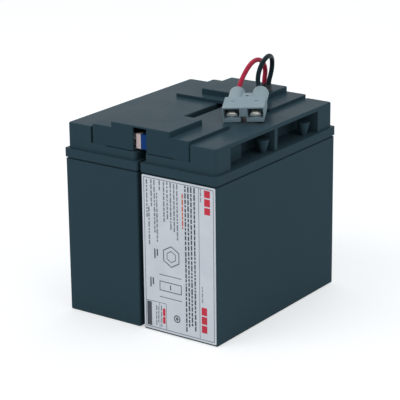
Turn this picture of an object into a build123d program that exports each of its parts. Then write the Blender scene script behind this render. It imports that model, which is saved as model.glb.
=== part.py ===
from build123d import *
from math import cos, radians, sin, tan
import os

# Backup power cartridge: two sealed lead-acid batteries side by side, joined by a cover at each end.
# Millimetres. X runs across the two batteries, Y along their length with the labelled end at -Y,
# and Z up. The origin is on the floor in the middle of the pair.

# Battery, outside
battery_width = 76.2
battery_length = 181.0
battery_height = 167.0
between_rims = 3.0
rim_bottom = 137.5
rim_height = 7.5
rim_overhang = 0.6
rim_corner = 2.0
case_corner = 1.5
case_foot_round = 1.2

# Case, inside
case_wall = 2.6
case_floor = 3.0
tongue_rise = 3.5
tongue_inset = 1.2
tongue_corner = 0.8
joint_groove = 1.6
partition = 1.6
cell_count = 6
rest_rib_width = 3.0
rest_rib_height = 3.0
rest_rib_offset = 18.0

# Lid
lid_outer_inset = 2.3
lid_inner_inset = 3.2
lid_end_inset = 2.5
lid_wall = 2.4
lid_roof = 3.0
lid_corner = 3.0
lid_edge_round = 1.1
recess_floor = 152.5
recess_floor_thickness = 3.0
recess_width = 30.3
recess_length = 34.0

# Grip pockets in the lid's outer long side: start, step and end along Y, and the post's place
grip_pockets = ((-67.2, -33.5, -2.8, -11.0), (1.4, 21.5, 65.0, 52.0))
grip_top = 163.8
grip_shallow = 12.5
grip_deep = 21.0
grip_post_radius = 2.6
grip_post_top_radius = 5.4
grip_post_inset = 6.2
grip_post_top = 156.5

# Vent valves, in a row under a welded strip
valve_row_inset = 32.0
valve_strip_width = 10.0
valve_strip_thickness = 2.0
valve_strip_margin = 9.0
valve_well_radius = 4.2
valve_well_depth = 9.5
valve_well_wall = 1.6
nipple_radius = 2.2
nipple_bore = 0.9
nipple_height = 5.0
valve_radius = 3.3
valve_height = 6.4
valve_fit = 0.05

# Plates and separators
plate_width = 66.0
plate_height = 105.0
negative_plate = 1.6
positive_plate = 2.5
separator_sheet = 1.1
positive_count = 4
separator_overlap = 0.8
lug_width = 9.0
lug_height = 7.0
lug_offset = 16.0
strap_width = 10.0
strap_height = 7.0

# Terminals
terminal_x = 15.0
flag_width = 12.0
flag_thickness = 3.0
flag_height = 14.0
flag_face = 80.4
bolt_height = 8.5
post_radius = 6.5
neck_radius = 4.5
neck_clearance = 0.1
seal_height = 3.0
seal_radius = 6.6
bolt_radius = 2.5
bolt_clearance = 0.15
bolt_head_flats = 8.0
bolt_head_height = 3.5
nut_height = 4.0
nut_fit = 0.02
thread_stand_out = 0.8

# Fuse between the two front terminals
fuse_strip_thickness = 1.0
fuse_strip_height = 10.0
fuse_strip_overhang = 5.5
fuse_neck_height = 4.0
fuse_slot_fit = 0.05
fuse_half_length = 5.7
fuse_joint_x = -0.9
fuse_front = 4.2
fuse_back = 2.6
fuse_half_height = 6.4
fuse_corner = 0.8

# End covers: a plate with a raised block, alike at both ends
cover_half_width = 49.5
cover_length = 58.5
cover_plate = 2.8
cover_wall = 2.0
cover_corner = 2.0
cover_edge_round = 0.7
block_half_width = 30.0
block_length = 47.0
block_rise = 4.7
skirt_depth = 13.8
skirt_thickness = 2.0
skirt_side_gap = 1.3
skirt_foot_gap = 0.1
skirt_back_gap = 0.3
notch_half_width = 6.9
notch_top = 173.2

# Leads and grommets
lead_radius = 2.1
lead_fit = 0.05
red_exit = (17.6, 69.3)
black_exit = (24.2, 66.0)
lead_joint_lift = 1.4
lead_straight_lift = 8.1
lead_mouth_runout = 2.5
grommet_hole_radius = 3.0
grommet_flange_radius = 3.6
grommet_flange = 1.2
grommet_collar_radius = 2.9
grommet_collar_tip = 2.6
grommet_collar_height = 5.4
inner_run_height = 155.6
inner_bend = 6.1
inner_rise_bend = 6.5
inner_return = 14.0
red_inner_run = 11.0
red_inner_bends = (8.0, 10.0)

# Ring lugs on the rear terminals
ring_radius = 5.0
ring_thickness = 1.0
barrel_start = 5.5
barrel_length = 7.0
barrel_radius = 2.9
barrel_bottom = 1.0
red_lug_slope = 25.0
red_lug_runout = 3.0

# Connector, lying on the right lid and held up behind by its leads
connector_place = (50.0, -10.6)
connector_lift = 1.0
connector_yaw = 27.4
connector_tilt = 8.7
connector_roll = 3.0
connector_width = 35.0
connector_height = 13.0
connector_body = 23.0
connector_length = 44.5
contact_spacing = 19.8
boss_radius = 6.9
boss_overlap = 9.0
mouth_width = 13.2
mouth_height = 8.6
mouth_floor = 3.2
mouth_depth = 17.0
middle_notch_width = 5.2
middle_notch_height = 5.0
middle_notch_depth = 12.0
lower_corner_height = 3.0
lower_corner_width = 0.7
web_width = 12.0
web_end = 37.0
web_bottom = 2.6
web_top = 10.4
rivet_hole_radius = 1.3
rivet_hole_place = 31.0
boss_bore = 3.5
blade_width = 8.6
blade_thickness = 2.2
blade_bottom = 4.4
blade_start = 3.0
nose_radius = 1.7
nose_length = 6.6
contact_barrel_radius = 3.3
contact_barrel_start = 24.0
contact_barrel_end = 42.0
contact_barrel_bottom = 36.0
blade_end = 25.0
spring_width = 6.0
spring_thickness = 0.6
spring_start = 6.0

# Label and pads
label_thickness = 0.2
label_side_margin = 1.0
label_top_margin = 0.2
label_bottom_margin = 1.6
label_corner = 1.0
pad_length = 52.0
pad_height = 96.0
pad_bottom = 22.0
pad_centre = 48.0

# Worked out from the sizes above
battery_x = (between_rims + battery_width) / 2
case_width = battery_width - 2 * rim_overhang
case_length = battery_length - 2 * rim_overhang
case_inner_x = battery_x - case_width / 2
case_front_y = -case_length / 2
case_top = rim_bottom + tongue_rise
groove_bottom = rim_bottom - joint_groove
tongue_width = case_width - 2 * tongue_inset
tongue_length = case_length - 2 * tongue_inset
well_width = case_width - 2 * case_wall
well_length = (case_length - 2 * case_wall - (cell_count - 1) * partition) / cell_count
cell_pitch = well_length + partition
cell_places = [(index - (cell_count - 1) / 2) * cell_pitch for index in range(cell_count)]
rim_top = rim_bottom + rim_height
lid_inner_x = between_rims / 2 + lid_inner_inset
lid_outer_x = between_rims / 2 + battery_width - lid_outer_inset
lid_end_y = battery_length / 2 - lid_end_inset
recess_outer_x = lid_inner_x + recess_width
recess_start_y = lid_end_y - recess_length
valve_x = lid_outer_x - valve_row_inset
valve_well_floor = battery_height - valve_strip_thickness - valve_well_depth
plate_bottom = case_floor + rest_rib_height
plate_top = plate_bottom + plate_height
strap_bottom = plate_top + lug_height
strap_top = strap_bottom + strap_height
negative_count = positive_count + 1
separator_count = 2 * positive_count
stack_length = (
    negative_count * negative_plate + positive_count * positive_plate + separator_count * separator_sheet
)
flag_top = recess_floor + flag_height
bolt_z = recess_floor + bolt_height
flag_back = flag_face - flag_thickness
flag_middle = (flag_face + flag_back) / 2
seal_bottom = recess_floor - recess_floor_thickness - seal_height
cover_top = battery_height + cover_plate
block_top = cover_top + block_rise
skirt_bottom = battery_height - skirt_depth
skirt_inner_y = lid_end_y - skirt_thickness
lug_axis_y = flag_back - barrel_radius
barrel_mouth = barrel_start + barrel_length
lead_seat = barrel_start + barrel_bottom
lead_joint_z = block_top + lead_joint_lift
lead_straight_z = block_top + lead_straight_lift

# The connector's X runs across its two mouths and its Y towards the leads.
tilt = radians(connector_tilt)
yaw = radians(connector_yaw)
roll = radians(connector_roll)
level = Vector(cos(yaw), sin(yaw), 0)
upright = Vector(sin(yaw) * sin(tilt), -cos(yaw) * sin(tilt), cos(tilt))
connector_plane = Plane(
    origin=(*connector_place, battery_height + connector_lift),
    x_dir=level * cos(roll) + upright * sin(roll),
    z_dir=upright * cos(roll) - level * sin(roll),
)
lead_axis_z = connector_height / 2
contact_sides = {"positive": -contact_spacing / 2, "negative": contact_spacing / 2}

# Both batteries are one moulding: the left one is the right one turned half round.
battery_planes = {"right": Plane.XY, "left": Plane.XY.rotated((0, 0, 180))}

os.makedirs("parts", exist_ok=True)


def block(x_limits, y_limits, z_limits, mode=Mode.ADD):
    """A rectangular block between two limits along each axis of the part's plane."""
    sizes = [limits[1] - limits[0] for limits in (x_limits, y_limits, z_limits)]
    centre = tuple((limits[0] + limits[1]) / 2 for limits in (x_limits, y_limits, z_limits))
    with Locations(centre):
        Box(*sizes, mode=mode)


def post(x, y, z_limits, radius, mode=Mode.ADD):
    """An upright round post at x, y between two heights."""
    with Locations((x, y, (z_limits[0] + z_limits[1]) / 2)):
        Cylinder(radius, z_limits[1] - z_limits[0], mode=mode)


def both_ends(limits):
    """A pair of limits along Y and the same pair mirrored to the other end."""
    return (limits, (-limits[1], -limits[0]))


def route_radii(points):
    """One bend radius for each corner of a route, as large as its two runs allow."""
    radii = []
    for before, corner, after in zip(points, points[1:], points[2:]):
        arriving = Vector(*corner) - Vector(*before)
        leaving = Vector(*after) - Vector(*corner)
        turn = radians(arriving.get_angle(leaving))
        radii.append(0.45 * min(arriving.length, leaving.length) / tan(turn / 2))
    return radii


# Cases: an open box with six cells, whose partitions have windows for the straps between cells. Its
# narrower top is the lid's tongue and shows as a groove under the lid's rim.
def make_case(plane):
    with BuildPart(plane) as case:
        with BuildSketch(plane):
            with Locations((battery_x, 0)):
                RectangleRounded(case_width, case_length, case_corner)
        extrude(amount=groove_bottom)
        fillet(case.edges().group_by(Axis.Z)[0], case_foot_round)
        with BuildSketch(plane.offset(groove_bottom)):
            with Locations((battery_x, 0)):
                RectangleRounded(tongue_width, tongue_length, tongue_corner)
        extrude(amount=case_top - groove_bottom)
        for cell_y in cell_places:
            block(
                (battery_x - well_width / 2, battery_x + well_width / 2),
                (cell_y - well_length / 2, cell_y + well_length / 2),
                (case_floor, case_top),
                Mode.SUBTRACT,
            )
            for side in (-1, 1):
                rib_x = battery_x + side * rest_rib_offset
                block(
                    (rib_x - rest_rib_width / 2, rib_x + rest_rib_width / 2),
                    (cell_y - well_length / 2, cell_y + well_length / 2),
                    (case_floor, plate_bottom),
                )
        for index in range(cell_count - 1):
            strap_x = battery_x + strap_side(index) * lug_offset
            partition_y = (cell_places[index] + cell_places[index + 1]) / 2
            block(
                (strap_x - strap_width / 2, strap_x + strap_width / 2),
                (partition_y - partition / 2, partition_y + partition / 2),
                (strap_bottom, strap_top),
                Mode.SUBTRACT,
            )
    return case


def strap_side(index):
    """The side of the strap between cell index and the next: outer and inner in turn."""
    return 1 if index % 2 == 0 else -1


# Lids: a hollow moulding with a rim over the case, grip pockets, terminal recesses and valve wells.
def make_lid(plane):
    body_x = (lid_inner_x, lid_outer_x)
    middle_x = (lid_inner_x + lid_outer_x) / 2
    with BuildPart(plane) as lid:
        with BuildSketch(plane.offset(rim_bottom)):
            with Locations((battery_x, 0)):
                RectangleRounded(battery_width, battery_length, rim_corner)
        extrude(amount=rim_height)
        with BuildSketch(plane.offset(rim_top)):
            with Locations((middle_x, 0)):
                RectangleRounded(lid_outer_x - lid_inner_x, 2 * lid_end_y, lid_corner)
        extrude(amount=battery_height - rim_top)
        fillet(lid.edges().group_by(Axis.Z)[-1], lid_edge_round)
        with BuildSketch(plane.offset(rim_bottom)):
            with Locations((battery_x, 0)):
                RectangleRounded(tongue_width, tongue_length, tongue_corner)
        extrude(amount=tongue_rise, mode=Mode.SUBTRACT)
        hollow_top = battery_height - lid_roof
        block(
            (body_x[0] + lid_wall, body_x[1] - lid_wall),
            (-lid_end_y + lid_wall, lid_end_y - lid_wall),
            (case_top, hollow_top),
            Mode.SUBTRACT,
        )
        # Partition ribs that meet the walls between the cells
        for index in range(cell_count - 1):
            rib_y = (cell_places[index] + cell_places[index + 1]) / 2
            block(
                (body_x[0] + lid_wall, body_x[1] - lid_wall),
                (rib_y - partition / 2, rib_y + partition / 2),
                (case_top, hollow_top),
            )
        # Walls around the recesses, pockets and wells
        for y_limits in both_ends((recess_start_y - lid_wall, lid_end_y - lid_wall)):
            block(
                (lid_inner_x, recess_outer_x + lid_wall),
                y_limits,
                (recess_floor - recess_floor_thickness, battery_height - lid_roof),
            )
        for start, step, end, post_y in grip_pockets:
            block(
                (lid_outer_x - grip_shallow - lid_wall, lid_outer_x - lid_wall),
                (start - lid_wall, step),
                (case_top, hollow_top),
            )
            block(
                (lid_outer_x - grip_deep - lid_wall, lid_outer_x - lid_wall),
                (step - lid_wall, end + lid_wall),
                (case_top, hollow_top),
            )
        for cell_y in cell_places:
            post(valve_x, cell_y, (valve_well_floor - lid_wall, hollow_top), valve_well_radius + valve_well_wall)
        # Terminal recesses, open towards the seam and towards the end under the cover's skirt
        for y_limits in both_ends((recess_start_y, lid_end_y)):
            block((lid_inner_x, recess_outer_x), y_limits, (recess_floor, battery_height), Mode.SUBTRACT)
        for y_limits in both_ends((skirt_inner_y - skirt_back_gap, lid_end_y)):
            block(
                (lid_inner_x, cover_half_width + skirt_side_gap),
                y_limits,
                (skirt_bottom - skirt_foot_gap, battery_height),
                Mode.SUBTRACT,
            )
        for end_side in (-1, 1):
            post(
                terminal_x,
                end_side * flag_middle,
                (case_top, recess_floor),
                neck_radius + neck_clearance,
                Mode.SUBTRACT,
            )
        # Grip pockets: a shallow half, then a deep half with a post that widens upwards
        for start, step, end, post_y in grip_pockets:
            block((lid_outer_x - grip_shallow, lid_outer_x), (start, step), (rim_top, grip_top), Mode.SUBTRACT)
            block((lid_outer_x - grip_deep, lid_outer_x), (step, end), (rim_top, grip_top), Mode.SUBTRACT)
            with Locations((lid_outer_x - grip_post_inset, post_y, (rim_top + grip_post_top) / 2)):
                Cone(grip_post_radius, grip_post_top_radius, grip_post_top - rim_top)
        # Valve strip seat, wells and nipples
        block(
            (valve_x - valve_strip_width / 2, valve_x + valve_strip_width / 2),
            (-lid_end_y + valve_strip_margin, lid_end_y - valve_strip_margin),
            (battery_height - valve_strip_thickness, battery_height),
            Mode.SUBTRACT,
        )
        for cell_y in cell_places:
            well_top = battery_height - valve_strip_thickness
            post(valve_x, cell_y, (valve_well_floor, well_top), valve_well_radius, Mode.SUBTRACT)
            post(valve_x, cell_y, (valve_well_floor, valve_well_floor + nipple_height), nipple_radius)
            post(
                valve_x,
                cell_y,
                (valve_well_floor - lid_wall, valve_well_floor + nipple_height),
                nipple_bore,
                Mode.SUBTRACT,
            )
    return lid


def stack_places(cell_y, kind):
    """Centre along Y of each plate or separator of one kind in a cell's stack."""
    places = []
    edge = cell_y - stack_length / 2
    for index in range(negative_count + positive_count + separator_count):
        if index % 2:
            name, thickness = "separator", separator_sheet
        elif index % 4:
            name, thickness = "positive", positive_plate
        else:
            name, thickness = "negative", negative_plate
        if name == kind:
            places.append(edge + thickness / 2)
        edge += thickness
    return places


def lug_side(cell_index, kind):
    """Side of a cell's lugs: the positive lugs start on the inner side and swap from cell to cell."""
    side = -1 if cell_index % 2 == 0 else 1
    return side if kind == "positive" else -side


def make_plates(plane, kind, thickness):
    with BuildPart(plane) as plates:
        for cell_index, cell_y in enumerate(cell_places):
            lug_x = battery_x + lug_side(cell_index, kind) * lug_offset
            for plate_y in stack_places(cell_y, kind):
                y_limits = (plate_y - thickness / 2, plate_y + thickness / 2)
                block(
                    (battery_x - plate_width / 2, battery_x + plate_width / 2), y_limits, (plate_bottom, plate_top)
                )
                block((lug_x - lug_width / 2, lug_x + lug_width / 2), y_limits, (plate_top, strap_bottom))
    return plates


def make_separators(plane):
    with BuildPart(plane) as separators:
        for cell_y in cell_places:
            for sheet_y in stack_places(cell_y, "separator"):
                block(
                    (battery_x - plate_width / 2 - separator_overlap, battery_x + plate_width / 2 + separator_overlap),
                    (sheet_y - separator_sheet / 2, sheet_y + separator_sheet / 2),
                    (plate_bottom, plate_top + separator_overlap),
                )
    return separators


def make_straps(plane):
    """The five cast straps that join each cell to the next through the partition windows."""
    with BuildPart(plane) as straps:
        for index in range(cell_count - 1):
            strap_x = battery_x + strap_side(index) * lug_offset
            block(
                (strap_x - strap_width / 2, strap_x + strap_width / 2),
                (cell_places[index] - stack_length / 2, cell_places[index + 1] + stack_length / 2),
                (strap_bottom, strap_top),
            )
    return straps


def make_terminal(plane, end_side):
    """An end cell's strap with the post that rises through the lid to a flat flag with a bolt hole."""
    end_cell = end_side * cell_places[-1]
    flag_y = end_side * flag_middle
    with BuildPart(plane) as terminal:
        block(
            (terminal_x - post_radius, battery_x - lug_offset + strap_width / 2),
            (end_cell - stack_length / 2, end_cell + stack_length / 2),
            (strap_bottom, strap_top),
        )
        post(terminal_x, flag_y, (strap_bottom, seal_bottom), post_radius)
        post(terminal_x, flag_y, (strap_bottom, recess_floor), neck_radius)
        block(
            (terminal_x - flag_width / 2, terminal_x + flag_width / 2),
            (flag_y - flag_thickness / 2, flag_y + flag_thickness / 2),
            (recess_floor, flag_top),
        )
        with Locations(Location((terminal_x, flag_y, bolt_z), (90, 0, 0))):
            Cylinder(bolt_radius + bolt_clearance, 2 * flag_thickness, mode=Mode.SUBTRACT)
    return terminal


def make_seals(plane):
    with BuildPart(plane) as seals:
        for end_side in (-1, 1):
            seal_limits = (seal_bottom, seal_bottom + seal_height)
            post(terminal_x, end_side * flag_middle, seal_limits, seal_radius)
            post(terminal_x, end_side * flag_middle, seal_limits, neck_radius, Mode.SUBTRACT)
    return seals


def make_valves(plane):
    """Six rubber caps, each pressed over its nipple."""
    with BuildPart(plane) as valves:
        for cell_y in cell_places:
            post(valve_x, cell_y, (valve_well_floor, valve_well_floor + valve_height), valve_radius)
            post(
                valve_x,
                cell_y,
                (valve_well_floor, valve_well_floor + nipple_height),
                nipple_radius + valve_fit,
                Mode.SUBTRACT,
            )
    return valves


def make_valve_strip(plane):
    with BuildPart(plane) as strip:
        block(
            (valve_x - valve_strip_width / 2, valve_x + valve_strip_width / 2),
            (-lid_end_y + valve_strip_margin, lid_end_y - valve_strip_margin),
            (battery_height - valve_strip_thickness, battery_height),
        )
    return strip


# The right battery's front terminal is positive, and its rear one negative.
battery_pieces = {
    "case": make_case,
    "lid": make_lid,
    "positive_plates": lambda plane: make_plates(plane, "positive", positive_plate),
    "negative_plates": lambda plane: make_plates(plane, "negative", negative_plate),
    "separators": make_separators,
    "cell_straps": make_straps,
    "positive_terminal": lambda plane: make_terminal(plane, -1),
    "negative_terminal": lambda plane: make_terminal(plane, 1),
    "terminal_seals": make_seals,
    "vent_valves": make_valves,
    "valve_strip": make_valve_strip,
}
for side, battery_plane in battery_planes.items():
    for piece, make in battery_pieces.items():
        built = make(battery_plane)
        built.part.label = f"{side}_{piece}"
        export_step(built.part, f"parts/{side}_{piece}.step")

# Terminal screws: heads outwards, nuts inwards, over the fuse strip in front and the lugs behind.
front_head = -flag_face - fuse_strip_thickness
front_nut = -flag_back
rear_head = flag_face
rear_nut = flag_back - ring_thickness
with BuildPart() as terminal_bolts:
    for x in (-terminal_x, terminal_x):
        for head_y, nut_y, outward in ((front_head, front_nut, -1), (rear_head, rear_nut, 1)):
            head_plane = Plane(origin=(x, head_y, bolt_z), x_dir=(1, 0, 0), z_dir=(0, outward, 0))
            with BuildSketch(head_plane):
                RegularPolygon(bolt_head_flats / 2, 6, major_radius=False)
            extrude(amount=bolt_head_height)
            shank = abs(head_y - nut_y) + nut_height + thread_stand_out
            with BuildSketch(head_plane):
                Circle(bolt_radius)
            extrude(amount=-shank)
terminal_bolts.part.label = "terminal_bolts"
export_step(terminal_bolts.part, "parts/terminal_bolts.step")

with BuildPart() as terminal_nuts:
    for x in (-terminal_x, terminal_x):
        for nut_y, outward in ((front_nut, -1), (rear_nut, 1)):
            with BuildSketch(Plane(origin=(x, nut_y, bolt_z), x_dir=(1, 0, 0), z_dir=(0, outward, 0))):
                RegularPolygon(bolt_head_flats / 2, 6, major_radius=False)
                Circle(bolt_radius + nut_fit, mode=Mode.SUBTRACT)
            extrude(amount=-nut_height)
terminal_nuts.part.label = "terminal_nuts"
export_step(terminal_nuts.part, "parts/terminal_nuts.step")

# Fuse: a flat strip bolted across the front terminals, with a two-part body round its thin neck.
fuse_back_face = Plane(origin=(0, -flag_face, bolt_z), x_dir=(1, 0, 0), z_dir=(0, -1, 0))
with BuildPart() as fuse_link:
    with BuildSketch(fuse_back_face):
        Rectangle(2 * (terminal_x + fuse_strip_overhang), fuse_neck_height)
        for x in (-terminal_x, terminal_x):
            with Locations((x, 0)):
                Rectangle(2 * fuse_strip_overhang, fuse_strip_height)
                Circle(bolt_radius + bolt_clearance, mode=Mode.SUBTRACT)
    extrude(amount=fuse_strip_thickness)
fuse_link.part.label = "fuse_link"
export_step(fuse_link.part, "parts/fuse_link.step")

fuse_strip_y = -flag_face - fuse_strip_thickness / 2


def make_fuse_shell(x_limits):
    with BuildPart() as shell:
        block(
            x_limits,
            (fuse_strip_y - fuse_front, fuse_strip_y + fuse_back),
            (bolt_z - fuse_half_height, bolt_z + fuse_half_height),
        )
        fillet(shell.edges().filter_by(Axis.X), fuse_corner)
        block(
            x_limits,
            (-flag_face - fuse_strip_thickness - fuse_slot_fit, -flag_face + fuse_slot_fit),
            (bolt_z - fuse_neck_height / 2 - fuse_slot_fit, bolt_z + fuse_neck_height / 2 + fuse_slot_fit),
            Mode.SUBTRACT,
        )
    return shell


fuse_body = make_fuse_shell((-fuse_half_length, fuse_joint_x))
fuse_body.part.label = "fuse_body"
export_step(fuse_body.part, "parts/fuse_body.step")
fuse_cap = make_fuse_shell((fuse_joint_x, fuse_half_length))
fuse_cap.part.label = "fuse_cap"
export_step(fuse_cap.part, "parts/fuse_cap.step")

# End covers: a plate over both lids with a hollow raised block and a skirt down the end.
def inside(area, wall):
    """An area's limits along X and Y, drawn in by a wall."""
    return tuple((limits[0] + wall, limits[1] - wall) for limits in area)


def end_area(end_side, half_width, length):
    """An area's limits along X and Y, from one end of the lids inwards."""
    y_limits = sorted((end_side * (lid_end_y - length), end_side * lid_end_y))
    return ((-half_width, half_width), tuple(y_limits))


def rounded_block(area, z_limits, corner):
    """A block over an area with its upright edges rounded."""
    (x_low, x_high), (y_low, y_high) = area
    with BuildSketch(Plane.XY.offset(z_limits[0])) as outline:
        with Locations(((x_low + x_high) / 2, (y_low + y_high) / 2)):
            RectangleRounded(x_high - x_low, y_high - y_low, corner)
    extrude(outline.sketch, amount=z_limits[1] - z_limits[0])


def add_cover(end_side):
    plate_area = end_area(end_side, cover_half_width, cover_length)
    block_area = end_area(end_side, block_half_width, block_length)
    rounded_block(plate_area, (skirt_bottom, cover_top), cover_corner)
    under_plate = tuple(sorted((end_side * (lid_end_y - cover_length), end_side * skirt_inner_y)))
    block((-cover_half_width, cover_half_width), under_plate, (skirt_bottom, battery_height), Mode.SUBTRACT)
    rounded_block(block_area, (battery_height, block_top), cover_corner)


with BuildPart() as front_cover:
    add_cover(-1)
    fillet(front_cover.edges().group_by(Axis.Z)[-1], cover_edge_round)
    hollow = inside(end_area(-1, block_half_width, block_length), cover_wall)
    block(*hollow, (battery_height, block_top - cover_wall), Mode.SUBTRACT)
    block(
        (-notch_half_width, notch_half_width),
        (-lid_end_y, -skirt_inner_y),
        (skirt_bottom, notch_top),
        Mode.SUBTRACT,
    )
front_cover.part.label = "front_cover"
export_step(front_cover.part, "parts/front_cover.step")

with BuildPart() as rear_cover:
    add_cover(1)
    fillet(rear_cover.edges().group_by(Axis.Z)[-1], cover_edge_round)
    hollow = inside(end_area(1, block_half_width, block_length), cover_wall)
    block(*hollow, (battery_height, block_top - cover_wall), Mode.SUBTRACT)
    for x, y in (red_exit, black_exit):
        post(x, y, (battery_height, block_top), grommet_hole_radius, Mode.SUBTRACT)
rear_cover.part.label = "rear_cover"
export_step(rear_cover.part, "parts/rear_cover.step")


# Grommets: a rubber ring held by two flanges, with a short tapered collar round the lead.
def make_grommet(exit_point):
    with BuildPart() as grommet:
        with BuildSketch(Plane(origin=(*exit_point, 0), x_dir=(1, 0, 0), z_dir=(0, -1, 0))):
            with BuildLine():
                Polyline(
                    (lead_radius + lead_fit, block_top - cover_wall - grommet_flange),
                    (grommet_flange_radius, block_top - cover_wall - grommet_flange),
                    (grommet_flange_radius, block_top - cover_wall),
                    (grommet_hole_radius, block_top - cover_wall),
                    (grommet_hole_radius, block_top),
                    (grommet_flange_radius, block_top),
                    (grommet_flange_radius, block_top + grommet_flange),
                    (grommet_collar_radius, block_top + grommet_flange),
                    (grommet_collar_tip, block_top + grommet_collar_height),
                    (lead_radius + lead_fit, block_top + grommet_collar_height),
                    close=True,
                )
            make_face()
        revolve(axis=Axis((*exit_point, 0), (0, 0, 1)))
    return grommet


for colour, exit_point in (("red", red_exit), ("black", black_exit)):
    grommet = make_grommet(exit_point)
    grommet.part.label = f"{colour}_lead_grommet"
    export_step(grommet.part, f"parts/{colour}_lead_grommet.step")


# Ring lugs: the ring lies against the flag's inner face and the barrel points along the lead.
def lug_plane(x, direction):
    return Plane(origin=(x, flag_back, bolt_z), x_dir=direction, z_dir=(0, -1, 0))


red_direction = (cos(radians(red_lug_slope)), 0, -sin(radians(red_lug_slope)))
lug_planes = {"red": lug_plane(-terminal_x, red_direction), "black": lug_plane(terminal_x, (-1, 0, 0))}


def make_lug(plane):
    with BuildPart(plane) as lug:
        with BuildSketch(plane):
            Circle(ring_radius)
            with Locations((barrel_start / 2 + barrel_bottom, 0)):
                Rectangle(barrel_start, 2 * barrel_radius)
            Circle(bolt_radius + bolt_clearance, mode=Mode.SUBTRACT)
        extrude(amount=ring_thickness)
        barrel_plane = Plane(
            origin=plane.from_local_coords((barrel_start, 0, barrel_radius)), x_dir=(0, 1, 0), z_dir=plane.x_dir
        )
        with BuildSketch(barrel_plane):
            Circle(barrel_radius)
        extrude(amount=barrel_length)
        with BuildSketch(barrel_plane.offset(barrel_bottom)):
            Circle(lead_radius + lead_fit)
        extrude(amount=barrel_length, mode=Mode.SUBTRACT)
    return lug


for colour, plane in lug_planes.items():
    lug = make_lug(plane)
    lug.part.label = f"{colour}_lead_lug"
    export_step(lug.part, f"parts/{colour}_lead_lug.step")


# Inner leads, from each lug to its grommet, where the outer lead goes on.
def make_lead(points, radii):
    first = Vector(*points[0])
    start = Plane(origin=first, z_dir=Vector(*points[1]) - first)
    with BuildPart() as lead:
        with BuildLine() as path:
            FilletPolyline(*points, radius=radii)
        with BuildSketch(start):
            Circle(lead_radius)
        sweep(path=path.line)
    return lead


black_seat = lug_planes["black"].from_local_coords((lead_seat, 0, barrel_radius))
black_turn_x = terminal_x - barrel_mouth - inner_bend
black_inner_route = [
    tuple(black_seat),
    (black_turn_x, lug_axis_y, bolt_z),
    (black_turn_x, lug_axis_y - inner_return, bolt_z),
    (black_exit[0], black_exit[1], bolt_z),
    (*black_exit, lead_joint_z),
]
red_seat = lug_planes["red"].from_local_coords((lead_seat, 0, barrel_radius))
red_level = lug_planes["red"].from_local_coords((barrel_mouth + red_lug_runout, 0, barrel_radius))
red_inner_route = [
    tuple(red_seat),
    tuple(red_level),
    (red_exit[0] - red_inner_run, red_exit[1], inner_run_height),
    (*red_exit, inner_run_height),
    (*red_exit, lead_joint_z),
]
inner_routes = {
    "red": (red_inner_route, (*red_inner_bends, inner_rise_bend)),
    "black": (black_inner_route, (inner_bend, inner_bend, inner_rise_bend)),
}
for colour, (points, radii) in inner_routes.items():
    lead = make_lead(points, radii)
    lead.part.label = f"{colour}_inner_lead"
    export_step(lead.part, f"parts/{colour}_inner_lead.step")

# Outer leads: loops from the connector's barrels to the grommets.
lead_mouth = connector_length + lead_mouth_runout
red_boss = connector_plane.from_local_coords((contact_sides["positive"], contact_barrel_bottom, lead_axis_z))
red_mouth = connector_plane.from_local_coords((contact_sides["positive"], lead_mouth, lead_axis_z))
black_boss = connector_plane.from_local_coords((contact_sides["negative"], contact_barrel_bottom, lead_axis_z))
black_mouth = connector_plane.from_local_coords((contact_sides["negative"], lead_mouth, lead_axis_z))
outer_routes = {
    "red": [
        tuple(red_boss),
        tuple(red_mouth),
        (18.6, 30.6, 188.3),
        (18.4, 36.4, 194.0),
        (18.3, 43.0, 199.3),
        (18.1, 51.0, 203.0),
        (17.9, 59.6, 202.9),
        (17.7, 66.4, 198.2),
        (17.6, 69.6, 190.8),
        (*red_exit, lead_straight_z),
        (*red_exit, lead_joint_z),
    ],
    "black": [
        tuple(black_boss),
        tuple(black_mouth),
        (32.9, 39.0, 187.6),
        (30.8, 40.6, 195.5),
        (31.5, 43.7, 203.0),
        (31.6, 50.4, 207.8),
        (30.9, 58.6, 208.3),
        (29.3, 65.6, 204.4),
        (27.3, 69.3, 197.3),
        (25.2, 68.5, 189.3),
        (*black_exit, lead_straight_z),
        (*black_exit, lead_joint_z),
    ],
}
for colour, points in outer_routes.items():
    radii = route_radii(points)
    lead = make_lead(points, radii)
    print(colour, "lead bends", [round(radius, 1) for radius in radii])
    lead.part.label = f"{colour}_lead"
    export_step(lead.part, f"parts/{colour}_lead.step")

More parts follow.
